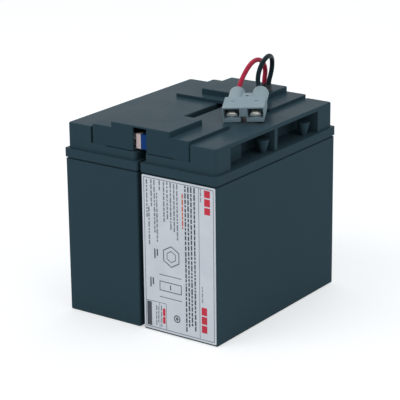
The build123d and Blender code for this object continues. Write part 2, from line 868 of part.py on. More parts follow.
# Connector: a flat housing with two mouths in front and two round bosses behind for the leads.
half_width = connector_width / 2
with BuildPart(connector_plane) as connector_housing:
    with BuildSketch(Plane(connector_plane.origin, connector_plane.x_dir, -connector_plane.y_dir)):
        with BuildLine():
            Polyline(
                (-half_width + lower_corner_width, 0),
                (-middle_notch_width / 2, 0),
                (-middle_notch_width / 2, middle_notch_height),
                (middle_notch_width / 2, middle_notch_height),
                (middle_notch_width / 2, 0),
                (half_width - lower_corner_width, 0),
                (half_width, lower_corner_height),
                (half_width, connector_height),
                (-half_width, connector_height),
                (-half_width, lower_corner_height),
                close=True,
            )
        make_face()
    extrude(amount=-connector_body)
    block(
        (-middle_notch_width / 2, middle_notch_width / 2),
        (middle_notch_depth, connector_body),
        (0, middle_notch_height),
    )
    block((-web_width / 2, web_width / 2), (connector_body, web_end), (web_bottom, web_top))
    for x in contact_sides.values():
        boss_middle = (connector_body - boss_overlap + connector_length) / 2
        with Locations(Location((x, boss_middle, lead_axis_z), (90, 0, 0))):
            Cylinder(boss_radius, connector_length - connector_body + boss_overlap)
    for x in contact_sides.values():
        block(
            (x - mouth_width / 2, x + mouth_width / 2),
            (0, mouth_depth),
            (mouth_floor, mouth_floor + mouth_height),
            Mode.SUBTRACT,
        )
        block(
            (x - blade_width / 2, x + blade_width / 2),
            (mouth_depth, blade_end),
            (blade_bottom, blade_bottom + blade_thickness),
            Mode.SUBTRACT,
        )
        bore_start = contact_barrel_start
        with Locations(Location((x, (bore_start + connector_length) / 2, lead_axis_z), (90, 0, 0))):
            Cylinder(boss_bore, connector_length - bore_start, mode=Mode.SUBTRACT)
    post(0, rivet_hole_place, (web_bottom, web_top), rivet_hole_radius, Mode.SUBTRACT)
connector_housing.part.label = "connector_housing"
export_step(connector_housing.part, "parts/connector_housing.step")


def make_contact(x):
    """A flat blade with a rolled nose in the mouth, and a round barrel in the boss that grips the lead."""
    with BuildPart(connector_plane) as contact:
        block(
            (x - blade_width / 2, x + blade_width / 2),
            (blade_start, blade_end),
            (blade_bottom, blade_bottom + blade_thickness),
        )
        nose_place = (x, blade_start + nose_radius, blade_bottom + blade_thickness / 2)
        with Locations(Location(nose_place, (0, 90, 0))):
            Cylinder(nose_radius, nose_length)
        barrel_middle = (contact_barrel_start + contact_barrel_end) / 2
        with Locations(Location((x, barrel_middle, lead_axis_z), (90, 0, 0))):
            Cylinder(contact_barrel_radius, contact_barrel_end - contact_barrel_start)
        bore_middle = (contact_barrel_bottom + contact_barrel_end) / 2
        with Locations(Location((x, bore_middle, lead_axis_z), (90, 0, 0))):
            Cylinder(lead_radius + lead_fit, contact_barrel_end - contact_barrel_bottom, mode=Mode.SUBTRACT)
    return contact


for pole, x in contact_sides.items():
    contact = make_contact(x)
    contact.part.label = f"{pole}_contact"
    export_step(contact.part, f"parts/{pole}_contact.step")

with BuildPart(connector_plane) as contact_springs:
    for x in contact_sides.values():
        block(
            (x - spring_width / 2, x + spring_width / 2),
            (spring_start, mouth_depth),
            (mouth_floor, mouth_floor + spring_thickness),
        )
contact_springs.part.label = "contact_springs"
export_step(contact_springs.part, "parts/contact_springs.step")

# Label on the right battery's front end, and foam pads that join the two cases.
label_left = case_inner_x + label_side_margin
label_right = case_inner_x + case_width - label_side_margin
label_bottom = label_bottom_margin
label_top = groove_bottom - label_top_margin
with BuildPart() as label:
    with BuildSketch(Plane(origin=(0, case_front_y, 0), x_dir=(1, 0, 0), z_dir=(0, -1, 0))):
        with Locations(((label_left + label_right) / 2, (label_bottom + label_top) / 2)):
            RectangleRounded(label_right - label_left, label_top - label_bottom, label_corner)
    extrude(amount=label_thickness)
label.part.label = "label"
export_step(label.part, "parts/label.step")

with BuildPart() as foam_pads:
    for y in (-pad_centre, pad_centre):
        block(
            (-case_inner_x, case_inner_x),
            (y - pad_length / 2, y + pad_length / 2),
            (pad_bottom, pad_bottom + pad_height),
        )
foam_pads.part.label = "foam_pads"
export_step(foam_pads.part, "parts/foam_pads.step")
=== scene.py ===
"""Looks for the backup power cartridge.

Two sealed batteries stand side by side under two moulded end covers, with a grey power connector
on short red and black leads. The solids of the frame get their materials here, and the leads, their
grommets, the contacts' tips and the label's print are drawn.
"""

import math

import bpy
import numpy as np
from mathutils import Euler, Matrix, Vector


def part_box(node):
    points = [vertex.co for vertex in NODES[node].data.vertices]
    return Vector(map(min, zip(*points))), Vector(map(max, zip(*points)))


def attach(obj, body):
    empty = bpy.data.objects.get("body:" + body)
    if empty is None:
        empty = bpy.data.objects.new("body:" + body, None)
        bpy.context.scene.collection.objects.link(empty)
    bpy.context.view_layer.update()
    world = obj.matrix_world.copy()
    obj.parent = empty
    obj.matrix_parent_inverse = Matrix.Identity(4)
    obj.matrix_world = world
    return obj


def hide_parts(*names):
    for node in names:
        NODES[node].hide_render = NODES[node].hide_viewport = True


bl_info = {
    "name": "Battery cartridge looks",
    "version": (1, 0, 0),
    "blender": (4, 5, 0),
    "location": "View3D > Sidebar > Cartridge",
    "description": "Finishes the shells, leads, connector, fuse and label of a power cartridge",
    "category": "Object",
}

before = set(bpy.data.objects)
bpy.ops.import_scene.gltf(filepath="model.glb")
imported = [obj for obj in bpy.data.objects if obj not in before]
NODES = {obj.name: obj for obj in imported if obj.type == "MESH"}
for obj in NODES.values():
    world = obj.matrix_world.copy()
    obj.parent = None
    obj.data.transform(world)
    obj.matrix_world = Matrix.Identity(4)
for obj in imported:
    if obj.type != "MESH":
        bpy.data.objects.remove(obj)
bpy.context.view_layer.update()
BODY = "root"
MM = 0.001
SIDES = ("left", "right")

# Routes of the two lead loops, in millimetres, from the grommet's joint to the connector's barrel
LEAD_ROUTES = {
    "red": (
        (17.6, 69.3, 175.9),
        (17.6, 69.3, 182.6),
        (17.8, 71.2, 190.6),
        (17.8, 68.0, 198.2),
        (17.9, 60.6, 203.0),
        (18.1, 51.0, 203.0),
        (18.3, 43.0, 199.3),
        (18.4, 36.4, 194.0),
        (18.6, 30.6, 188.3),
        (19.96, 25.14, 181.01),
        (24.96, 15.49, 179.35),
    ),
    "black": (
        (24.2, 66.0, 175.9),
        (24.2, 66.0, 182.6),
        (25.3, 68.3, 189.6),
        (26.4, 68.6, 197.4),
        (28.2, 65.2, 204.8),
        (29.9, 58.4, 208.3),
        (31.2, 50.4, 207.6),
        (31.3, 43.7, 203.0),
        (30.4, 40.4, 195.5),
        (31.0, 38.8, 187.8),
        (37.58, 34.10, 182.04),
        (42.59, 24.45, 180.37),
    ),
}

# Middles of the grommets in plan, and the top of the rear cover's raised block, in millimetres. The
# profile gives each point's radius and its height above that top, and starts inside the cover.
GROMMETS = {"red": (17.6, 69.3), "black": (24.2, 66.0)}
BLOCK_TOP = 174.5
GROMMET_PROFILE = (
    (2.15, -3.2), (3.35, -3.2), (3.6, -2.9), (3.6, -2.0), (3.0, -2.0), (3.0, 0.0), (3.6, 0.0),
    (3.6, 0.8), (3.4, 1.15), (3.0, 1.25), (2.85, 1.6), (2.75, 3.2), (2.62, 5.0), (2.5, 5.35),
    (2.2, 5.4), (2.15, 5.2),
)

# The middle of the connector's front lower edge, in millimetres, and its yaw, tilt and roll. Each
# contact ends in a tip that stands this far across from that middle, along and up.
CONNECTOR_ORIGIN = (50.0, -10.6, 168.0)
CONNECTOR_TURN = (math.radians(27.4), math.radians(8.7), math.radians(3.0))
CONTACTS = {"positive": -9.9, "negative": 9.9}
TIP_ALONG, TIP_UP = 5.0, 5.6
TIP_HALF_SIZE = (3.6, 2.4, 2.15)
TIP_POWER = 2.8


# Small helpers


def link(thing):
    bpy.context.scene.collection.objects.link(thing)
    return thing


def mesh_piece(name, points, faces, material, smooth=True):
    """A piece from an array of points in millimetres and its faces, riding on the cartridge."""
    data = bpy.data.meshes.new(name)
    data.from_pydata((np.asarray(points, float) * MM).tolist(), [], [tuple(face) for face in faces])
    data.validate()
    data.update()
    data.materials.append(material)
    if smooth:
        data.shade_smooth()
    piece = link(bpy.data.objects.new(name, data))
    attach(piece, BODY)
    return piece


def grid_faces(rows, columns, closed_rows=False, closed_columns=False):
    """Quads between the neighbouring points of a rows by columns grid, as one array."""
    i = np.arange(rows if closed_rows else rows - 1)
    j = np.arange(columns if closed_columns else columns - 1)
    a, b = np.meshgrid(i, j, indexing="ij")
    a, b = a.ravel(), b.ravel()
    a2, b2 = (a + 1) % rows, (b + 1) % columns
    corners = (a * columns + b, a * columns + b2, a2 * columns + b2, a2 * columns + b)
    return np.stack(corners, axis=1)


def turned(profile, centre, steps=48):
    """A closed profile turned about an upright axis: x = r cos t and y = r sin t in equal angles t.

    The profile's points run anticlockwise, with the radius to the right and the height upwards.
    """
    profile = np.asarray(profile, float)
    angle = np.linspace(0, 2 * np.pi, steps, endpoint=False)[:, None]
    x = centre[0] + profile[:, 0] * np.cos(angle)
    y = centre[1] + profile[:, 0] * np.sin(angle)
    z = np.broadcast_to(profile[:, 1], x.shape)
    points = np.stack([x, y, z], axis=-1).reshape(-1, 3)
    return points, grid_faces(steps, len(profile), True, True)[:, ::-1]


def slabs(rectangles, front, thickness):
    """Thin upright slabs facing -Y. A rectangle is low x, low z, high x, high z in millimetres."""
    r = np.asarray(rectangles, float)
    x = r[:, [0, 2, 2, 0, 0, 2, 2, 0]]
    z = r[:, [1, 1, 3, 3, 1, 1, 3, 3]]
    y = np.broadcast_to([front] * 4 + [front + thickness] * 4, x.shape)
    points = np.stack([x, y, z], axis=-1).reshape(-1, 3)
    box = np.array([
        [0, 1, 2, 3], [4, 7, 6, 5], [0, 4, 5, 1], [1, 5, 6, 2], [2, 6, 7, 3], [3, 7, 4, 0],
    ])
    faces = (box[None] + 8 * np.arange(len(r))[:, None, None]).reshape(-1, 4)
    return points, faces


def outline_band(corners, width, front, thickness):
    """A closed band along a flat convex outline in x and z.

    With m as the middle, each corner c is joined to m + (c - m) * (1 - width / |c - m|), and both
    rings are carried back along Y.
    """
    c = np.asarray(corners, float)
    middle = c.mean(axis=0)
    reach = np.linalg.norm(c - middle, axis=1, keepdims=True)
    inner = middle + (c - middle) * (1 - width / reach)
    back = front + thickness
    rings = [(c, front), (inner, front), (inner, back), (c, back)]
    points = np.concatenate([
        np.stack([ring[:, 0], np.full(len(ring), y), ring[:, 1]], axis=1) for ring, y in rings
    ])
    return points, grid_faces(4, len(c), True, True)


def ring_outline(centre, radius, steps, turn=0.0):
    """Corners of a regular outline: x = r cos t and z = r sin t from its centre, at equal angles."""
    angle = turn + np.linspace(0, 2 * np.pi, steps, endpoint=False)
    x, z = centre[0] + radius * np.cos(angle), centre[1] + radius * np.sin(angle)
    return np.stack([x, z], axis=1)


def connector_points(points):
    """Scene points, in millimetres, from points given across, along and up the connector.

    Its axes are the scene's after a yaw about the upright, a tilt of the rear upwards and a roll.
    """
    yaw, tilt, roll = CONNECTOR_TURN
    level = np.array([math.cos(yaw), math.sin(yaw), 0.0])
    along = np.array([
        -math.sin(yaw) * math.cos(tilt), math.cos(yaw) * math.cos(tilt), math.sin(tilt),
    ])
    upright = np.cross(level, along)
    across = level * math.cos(roll) + upright * math.sin(roll)
    up = upright * math.cos(roll) - level * math.sin(roll)
    return np.asarray(CONNECTOR_ORIGIN) + np.asarray(points) @ np.stack([across, along, up])


def pillow(centre, half_size, power, rings=14, steps=28):
    """A closed superellipsoid, with s(v) = sign(v) * |v| ** (2 / power) and angles b and t.

    x = s(sin b), y = s(cos b) s(cos t) and z = s(cos b) s(sin t), each times its half size. One
    flat face closes each end in x.
    """
    def shaped(value):
        return np.sign(value) * np.abs(value) ** (2 / power)

    bend = np.linspace(-np.pi / 2, np.pi / 2, rings + 2)[1:-1][:, None]
    turn = np.linspace(0, 2 * np.pi, steps, endpoint=False)[None]
    x = np.broadcast_to(shaped(np.sin(bend)), (rings, steps))
    y = shaped(np.cos(bend)) * shaped(np.cos(turn))
    z = shaped(np.cos(bend)) * shaped(np.sin(turn))
    points = np.stack([x, y, z], axis=-1).reshape(-1, 3) * half_size + centre
    faces = [tuple(face) for face in grid_faces(rings, steps, False, True)]
    caps = [tuple(range(steps - 1, -1, -1)), tuple(range((rings - 1) * steps, rings * steps))]
    return points, faces + caps


# Shader node groups, each built once. The scale of a noise is its number of spots in a metre.

BEVEL_SAMPLES = 4
BUMP_STRENGTH = 0.5
METAL_EDGE = 0.0003
DUST_COLOUR = (0.42, 0.45, 0.47, 1)
# Sockets of the Mix node when it mixes colours
MIX_FACTOR, MIX_FIRST, MIX_SECOND, MIX_RESULT = 0, 6, 7, 2


def node_group(name, inputs, outputs):
    """A shader group with its named sockets, or the one already built, and whether it is new."""
    if name in bpy.data.node_groups:
        return bpy.data.node_groups[name], False
    group = bpy.data.node_groups.new(name, "ShaderNodeTree")
    for label, kind, default in inputs:
        socket = group.interface.new_socket(label, in_out="INPUT", socket_type=kind)
        socket.default_value = default
    for label, kind in outputs:
        group.interface.new_socket(label, in_out="OUTPUT", socket_type=kind)
    return group, True


class Wiring:
    """Adds and joins nodes in one tree with few words."""

    def __init__(self, tree):
        self.tree = tree

    def add(self, kind, **settings):
        node = self.tree.nodes.new(kind)
        for key, value in settings.items():
            setattr(node, key, value)
        return node

    def join(self, source, target):
        self.tree.links.new(source, target)

    def feed(self, value, target):
        """Joins an output to the target socket, or sets a plain value on it."""
        if isinstance(value, bpy.types.NodeSocket):
            self.join(value, target)
        else:
            target.default_value = value

    def math(self, operation, first, second, clamp=False):
        node = self.add("ShaderNodeMath", operation=operation, use_clamp=clamp)
        self.feed(first, node.inputs[0])
        self.feed(second, node.inputs[1])
        return node.outputs[0]

    def spread(self, value, low, high, to_low=0.0, to_high=1.0, curve="SMOOTHSTEP"):
        """Maps the range from low to high onto the one from to_low to to_high."""
        node = self.add("ShaderNodeMapRange", interpolation_type=curve)
        names = ("Value", "From Min", "From Max", "To Min", "To Max")
        for name, number in zip(names, (value, low, high, to_low, to_high)):
            self.feed(number, node.inputs[name])
        return node.outputs["Result"]

    def mix(self, factor, first, second):
        node = self.add("ShaderNodeMix", data_type="RGBA")
        for index, value in ((MIX_FACTOR, factor), (MIX_FIRST, first), (MIX_SECOND, second)):
            self.feed(value, node.inputs[index])
        return node.outputs[MIX_RESULT]

    def noise(self, vector, scale, detail=3.0, roughness=0.5):
        node = self.add("ShaderNodeTexNoise")
        names = ("Vector", "Scale", "Detail", "Roughness")
        for name, value in zip(names, (vector, scale, detail, roughness)):
            self.feed(value, node.inputs[name])
        return node.outputs["Fac"]

    def seen_directly(self):
        """One for camera, glossy and transmission rays, nought for the rays that light the part."""
        path = self.add("ShaderNodeLightPath").outputs
        shown = self.math("MAXIMUM", path["Is Camera Ray"], path["Is Glossy Ray"])
        return self.math("MAXIMUM", shown, path["Is Transmission Ray"])


def inside(group):
    """The wiring of a new group, with what it is given and what it puts out."""
    w = Wiring(group)
    return w, w.add("NodeGroupInput").outputs, w.add("NodeGroupOutput").inputs


def mould_grain_group():
    """Fine moulded texture: two sizes of noise give a height and a slightly varying roughness."""
    group, new = node_group(
        "mould_grain",
        [
            ("Vector", "NodeSocketVector", (0, 0, 0)),
            ("Grain Scale", "NodeSocketFloat", 900.0),
            ("Smooth", "NodeSocketFloat", 0.3),
            ("Rough", "NodeSocketFloat", 0.4),
        ],
        [("Roughness", "NodeSocketFloat"), ("Height", "NodeSocketFloat")],
    )
    if new:
        w, given, made = inside(group)
        fine = w.noise(given["Vector"], given["Grain Scale"], detail=2.0)
        broad = w.noise(given["Vector"], 28.0, detail=4.0)
        w.join(w.spread(broad, 0.35, 0.65, given["Smooth"], given["Rough"]), made["Roughness"])
        w.join(w.math("ADD", fine, w.math("MULTIPLY", broad, 0.6)), made["Height"])
    return group


def handling_group():
    """Handling marks as one colour: pale rubbing on edges and faint drifts of dust on upward faces.

    An edge is where the softened normal turns away from the true one, by the cosine between them.
    """
    group, new = node_group(
        "handling_marks",
        [
            ("Color", "NodeSocketColor", (0.02, 0.02, 0.02, 1)),
            ("Rubbed", "NodeSocketColor", (0.1, 0.1, 0.1, 1)),
            ("Vector", "NodeSocketVector", (0, 0, 0)),
            ("Edge Radius", "NodeSocketFloat", 0.001),
            ("Wear", "NodeSocketFloat", 0.5),
            ("Dust", "NodeSocketFloat", 0.1),
        ],
        [("Color", "NodeSocketColor")],
    )
    if new:
        w, given, made = inside(group)
        bevel = w.add("ShaderNodeBevel", samples=BEVEL_SAMPLES)
        w.join(given["Edge Radius"], bevel.inputs["Radius"])
        true_normal = w.add("ShaderNodeNewGeometry").outputs["True Normal"]
        cosine = w.add("ShaderNodeVectorMath", operation="DOT_PRODUCT")
        w.join(bevel.outputs["Normal"], cosine.inputs[0])
        w.join(true_normal, cosine.inputs[1])
        edge = w.spread(cosine.outputs["Value"], 0.995, 0.86)
        patchy = w.spread(w.noise(given["Vector"], 90.0, detail=5.0), 0.35, 0.7)
        rub = w.math("MULTIPLY", w.math("MULTIPLY", edge, patchy), given["Wear"], clamp=True)
        split = w.add("ShaderNodeSeparateXYZ")
        w.join(true_normal, split.inputs[0])
        upward = w.spread(split.outputs["Z"], 0.6, 0.98)
        drift = w.spread(w.noise(given["Vector"], 17.0, detail=6.0, roughness=0.65), 0.42, 0.78)
        dust = w.math("MULTIPLY", w.math("MULTIPLY", upward, drift), given["Dust"], clamp=True)
        rubbed = w.mix(rub, given["Color"], given["Rubbed"])
        w.join(w.mix(dust, rubbed, DUST_COLOUR), made["Color"])
    return group


def metal_streak_group():
    """Fine streaks and spots on plated or cast metal, as a colour, a roughness and a height."""
    group, new = node_group(
        "metal_streaks",
        [
            ("Color", "NodeSocketColor", (0.6, 0.6, 0.6, 1)),
            ("Stain", "NodeSocketColor", (0.3, 0.3, 0.3, 1)),
            ("Vector", "NodeSocketVector", (0, 0, 0)),
            ("Streak Scale", "NodeSocketFloat", 700.0),
            ("Smooth", "NodeSocketFloat", 0.25),
            ("Rough", "NodeSocketFloat", 0.5),
        ],
        [
            ("Color", "NodeSocketColor"),
            ("Roughness", "NodeSocketFloat"),
            ("Height", "NodeSocketFloat"),
        ],
    )
    if new:
        w, given, made = inside(group)
        stretch = w.add("ShaderNodeMapping")
        stretch.inputs["Scale"].default_value = (1.0, 1.0, 0.12)
        w.join(given["Vector"], stretch.inputs["Vector"])
        streak = w.noise(stretch.outputs[0], given["Streak Scale"], detail=3.0)
        spots = w.spread(w.noise(given["Vector"], 160.0, detail=5.0), 0.45, 0.7)
        w.join(w.mix(spots, given["Color"], given["Stain"]), made["Color"])
        gloss = w.spread(streak, 0.0, 1.0, given["Smooth"], given["Rough"], curve="LINEAR")
        w.join(gloss, made["Roughness"])
        w.join(streak, made["Height"])
    return group


# Materials


def new_material(name):
    """A material with its wiring, its shader and the object's own coordinates."""
    material = bpy.data.materials.new(name)
    material.use_nodes = True
    w = Wiring(material.node_tree)
    shader = material.node_tree.nodes["Principled BSDF"]
    place = w.add("ShaderNodeTexCoord").outputs["Object"]
    return material, w, shader, place


def use_group(w, group, place, **values):
    """Places a group in a material at the given coordinates, with its other inputs' values."""
    node = w.add("ShaderNodeGroup")
    node.node_tree = group
    for name, value in values.items():
        node.inputs[name.replace("_", " ")].default_value = value
    w.join(place, node.inputs["Vector"])
    return node


def bump(w, shader, height, distance, edge=None):
    """Fine relief on a surface, over edges softened to a radius where one is given."""
    node = w.add("ShaderNodeBump")
    node.inputs["Strength"].default_value = BUMP_STRENGTH
    node.inputs["Distance"].default_value = distance
    w.join(height, node.inputs["Height"])
    if edge is not None:
        soft_edge = w.add("ShaderNodeBevel", samples=BEVEL_SAMPLES)
        soft_edge.inputs["Radius"].default_value = edge
        w.join(soft_edge.outputs["Normal"], node.inputs["Normal"])
    w.join(node.outputs["Normal"], shader.inputs["Normal"])


def moulded(
    name, colour, rubbed, smooth, rough,
    grain=900.0, edge=0.0006, wear=0.5, dust=0.08, relief=0.00002,
):
    """Moulded plastic: varying gloss, fine grain, softened edges, slight rubbing, a little dust."""
    material, w, shader, place = new_material(name)
    marks = use_group(
        w, handling_group(), place,
        Color=(*colour, 1), Rubbed=(*rubbed, 1), Edge_Radius=edge, Wear=wear, Dust=dust,
    )
    grained = use_group(
        w, mould_grain_group(), place, Grain_Scale=grain, Smooth=smooth, Rough=rough
    )
    w.join(marks.outputs["Color"], shader.inputs["Base Color"])
    w.join(grained.outputs["Roughness"], shader.inputs["Roughness"])
    bump(w, shader, grained.outputs["Height"], relief, edge)
    return material


def metal(name, colour, stain, smooth, rough, streak=700.0, metallic=1.0, relief=0.00001):
    """Plated or cast metal with streaks, spots and softened edges."""
    material, w, shader, place = new_material(name)
    shader.inputs["Metallic"].default_value = metallic
    streaks = use_group(
        w, metal_streak_group(), place,
        Color=(*colour, 1), Stain=(*stain, 1), Streak_Scale=streak, Smooth=smooth, Rough=rough,
    )
    w.join(streaks.outputs["Color"], shader.inputs["Base Color"])
    w.join(streaks.outputs["Roughness"], shader.inputs["Roughness"])
    bump(w, shader, streaks.outputs["Height"], relief, METAL_EDGE)
    return material


def printed_film(name, colour, blotch):
    """Printed label film: slight blotches and a satin surface."""
    material, w, shader, place = new_material(name)
    mottled = w.spread(w.noise(place, 60.0, detail=5.0), 0.3, 0.7)
    w.join(w.mix(mottled, (*colour, 1), (*blotch, 1)), shader.inputs["Base Color"])
    grained = use_group(w, mould_grain_group(), place, Grain_Scale=1500.0, Smooth=0.34, Rough=0.46)
    w.join(grained.outputs["Roughness"], shader.inputs["Roughness"])
    bump(w, shader, grained.outputs["Height"], 0.00001)
    return material


def soften_gloss(material, index, tint):
    """Lowers a plastic's refractive index and tints what it reflects straight on."""
    shader = material.node_tree.nodes["Principled BSDF"]
    shader.inputs["IOR"].default_value = index
    shader.inputs["Specular Tint"].default_value = (*tint, 1)


def dress(node, material):
    """Gives a CAD node its material."""
    data = NODES[node].data
    data.materials.clear()
    data.materials.append(material)


def rgb(colour):
    return tuple(colour)[:3]


def paler(colour, times):
    return tuple(min(1.0, value * times) for value in colour)


# What a user can change


class CartridgeColours(bpy.types.PropertyGroup):
    shell: bpy.props.FloatVectorProperty(
        name="Shell", description="Moulded cases and lids", subtype="COLOR", size=3, min=0, max=1,
        default=(0.043, 0.079, 0.1),
    )
    cover: bpy.props.FloatVectorProperty(
        name="Covers", description="End covers", subtype="COLOR", size=3, min=0, max=1,
        default=(0.038, 0.073, 0.094),
    )
    connector: bpy.props.FloatVectorProperty(
        name="Connector", description="Connector housing", subtype="COLOR", size=3, min=0, max=1,
        default=(0.27, 0.37, 0.42),
    )
    red_lead: bpy.props.FloatVectorProperty(
        name="Red lead", description="Jacket of the positive lead",
        subtype="COLOR", size=3, min=0, max=1, default=(0.55, 0.025, 0.07),
    )
    black_lead: bpy.props.FloatVectorProperty(
        name="Black lead", description="Jacket of the negative lead",
        subtype="COLOR", size=3, min=0, max=1, default=(0.014, 0.026, 0.034),
    )
    paper: bpy.props.FloatVectorProperty(
        name="Label", description="Ground colour of the label",
        subtype="COLOR", size=3, min=0, max=1, default=(0.84, 0.87, 0.94),
    )
    red_ink: bpy.props.FloatVectorProperty(
        name="Red ink", description="Red printed fields", subtype="COLOR", size=3, min=0, max=1,
        default=(0.72, 0.015, 0.05),
    )
    dark_ink: bpy.props.FloatVectorProperty(
        name="Dark ink", description="Dark printed bars", subtype="COLOR", size=3, min=0, max=1,
        default=(0.05, 0.055, 0.07),
    )


class CartridgeSizes(bpy.types.PropertyGroup):
    lead_diameter: bpy.props.FloatProperty(
        name="Lead diameter", description="Outside diameter of both leads",
        default=0.0042, unit="LENGTH",
    )
    edge_radius: bpy.props.FloatProperty(
        name="Edge softness", description="Radius of the softened moulded edges",
        default=0.0004, unit="LENGTH",
    )
    ink_thickness: bpy.props.FloatProperty(
        name="Ink thickness", description="How far the print stands off the label",
        default=0.00004, unit="LENGTH",
    )


class CartridgeStage(bpy.types.PropertyGroup):
    camera_place: bpy.props.FloatVectorProperty(
        name="Camera place", description="Where the camera stands", size=3, unit="LENGTH",
        default=(0.82467, -1.15628, 0.55542),
    )
    camera_turn: bpy.props.FloatVectorProperty(
        name="Camera turn", description="Yaw, pitch below the horizon and roll",
        size=3, subtype="EULER",
        default=(math.radians(35.603), math.radians(18.218), math.radians(-0.661)),
    )
    lens: bpy.props.FloatProperty(
        name="Lens", description="Focal length on a 36 mm sensor", default=155.64, min=20, max=300
    )
    key_power: bpy.props.FloatProperty(
        name="Key light", description="Strength of the large light over the left shoulder",
        default=13.0, min=0,
    )
    fill_power: bpy.props.FloatProperty(
        name="Fill light", description="Strength of the light on the right", default=4.8, min=0
    )
    sky: bpy.props.FloatProperty(
        name="Sky", description="Strength of the even light all round", default=0.42, min=0
    )


# Operators, one for each group of pieces

# Against the white surroundings the black plastic keeps its depth only with little gloss
SHELL_INDEX, SHELL_TINT = 1.07, (0.36, 0.74, 0.98)
BLUE_CAP_INDEX, BLUE_CAP_TINT = 1.2, (0.4, 0.6, 1.0)
JACKET_GLOSS = {"red": (1.3, (1.0, 0.7, 0.75)), "black": (1.15, (0.5, 0.8, 1.0))}


class CARTRIDGE_OT_shells(bpy.types.Operator):
    """Finish the cases, lids, valve strips and end covers as moulded black plastic"""

    bl_idname = "cartridge.shells"
    bl_label = "Finish shells"

    def execute(self, context):
        colours, sizes = context.scene.cartridge_colours, context.scene.cartridge_sizes
        shell, cover = rgb(colours.shell), rgb(colours.cover)
        worn = {"rubbed": (0.06, 0.085, 0.1), "edge": sizes.edge_radius, "wear": 0.35}
        case = moulded("case_plastic", shell, smooth=0.3, rough=0.4, dust=0.03, **worn)
        lid = moulded("lid_plastic", shell, smooth=0.2, rough=0.3, dust=0.015, **worn)
        end_cover = moulded("cover_plastic", cover, smooth=0.2, rough=0.3, dust=0.015, **worn)
        for material in (case, lid, end_cover):
            soften_gloss(material, SHELL_INDEX, SHELL_TINT)
        for side in SIDES:
            dress(f"{side}_case", case)
            dress(f"{side}_lid", lid)
            dress(f"{side}_valve_strip", lid)
        for end in ("front", "rear"):
            dress(f"{end}_cover", end_cover)
        return {"FINISHED"}


class CARTRIDGE_OT_cells(bpy.types.Operator):
    """Finish the plates, separators, straps, seals and valves inside the batteries"""

    bl_idname = "cartridge.cells"
    bl_label = "Finish cells"

    def execute(self, context):
        positive = moulded(
            "lead_dioxide", (0.055, 0.02, 0.012), (0.1, 0.05, 0.03), smooth=0.7, rough=0.9,
            grain=500.0,
        )
        negative = metal(
            "spongy_lead", (0.2, 0.2, 0.21), (0.12, 0.12, 0.13), smooth=0.55, rough=0.75,
            metallic=0.6,
        )
        mat = moulded(
            "glass_mat", (0.7, 0.7, 0.66), (0.75, 0.75, 0.72), smooth=0.85, rough=0.95,
            grain=1800.0, relief=0.0001,
        )
        cast = metal("cast_lead", (0.3, 0.3, 0.32), (0.18, 0.18, 0.2), smooth=0.4, rough=0.6)
        rubber = moulded(
            "seal_rubber", (0.012, 0.012, 0.013), (0.03, 0.03, 0.03), smooth=0.6, rough=0.75,
            grain=600.0,
        )
        foam = moulded(
            "foam", (0.02, 0.02, 0.022), (0.03, 0.03, 0.03), smooth=0.9, rough=1.0,
            grain=1400.0, relief=0.0002,
        )
        inside_each = {
            "positive_plates": positive,
            "negative_plates": negative,
            "separators": mat,
            "cell_straps": cast,
            "positive_terminal": cast,
            "negative_terminal": cast,
            "terminal_seals": rubber,
            "vent_valves": rubber,
        }
        for side in SIDES:
            for name, material in inside_each.items():
                dress(f"{side}_{name}", material)
        dress("foam_pads", foam)
        return {"FINISHED"}


class CARTRIDGE_OT_fuse(bpy.types.Operator):
    """Finish the fuse, terminal screws and ring lugs"""

    bl_idname = "cartridge.fuse"
    bl_label = "Finish fuse and screws"

    def execute(self, context):
        zinc = metal("zinc_plate", (0.62, 0.62, 0.6), (0.42, 0.42, 0.4), smooth=0.22, rough=0.42)
        tin = metal("tinned_copper", (0.66, 0.64, 0.6), (0.5, 0.47, 0.42), smooth=0.25, rough=0.45)
        glaze = moulded(
            "fuse_ceramic", (0.8, 0.62, 0.6), (0.85, 0.74, 0.7), smooth=0.15, rough=0.3,
            grain=300.0, wear=0.2,
        )
        blue = moulded(
            "fuse_cap_blue", (0.01, 0.06, 0.25), (0.05, 0.12, 0.32), smooth=0.25, rough=0.4,
            wear=0.2,
        )
        soften_gloss(blue, BLUE_CAP_INDEX, BLUE_CAP_TINT)
        for node in ("terminal_bolts", "terminal_nuts"):
            dress(node, zinc)
        for node in ("fuse_link", "red_lead_lug", "black_lead_lug"):
            dress(node, tin)
        dress("fuse_body", glaze)
        dress("fuse_cap", blue)
        return {"FINISHED"}


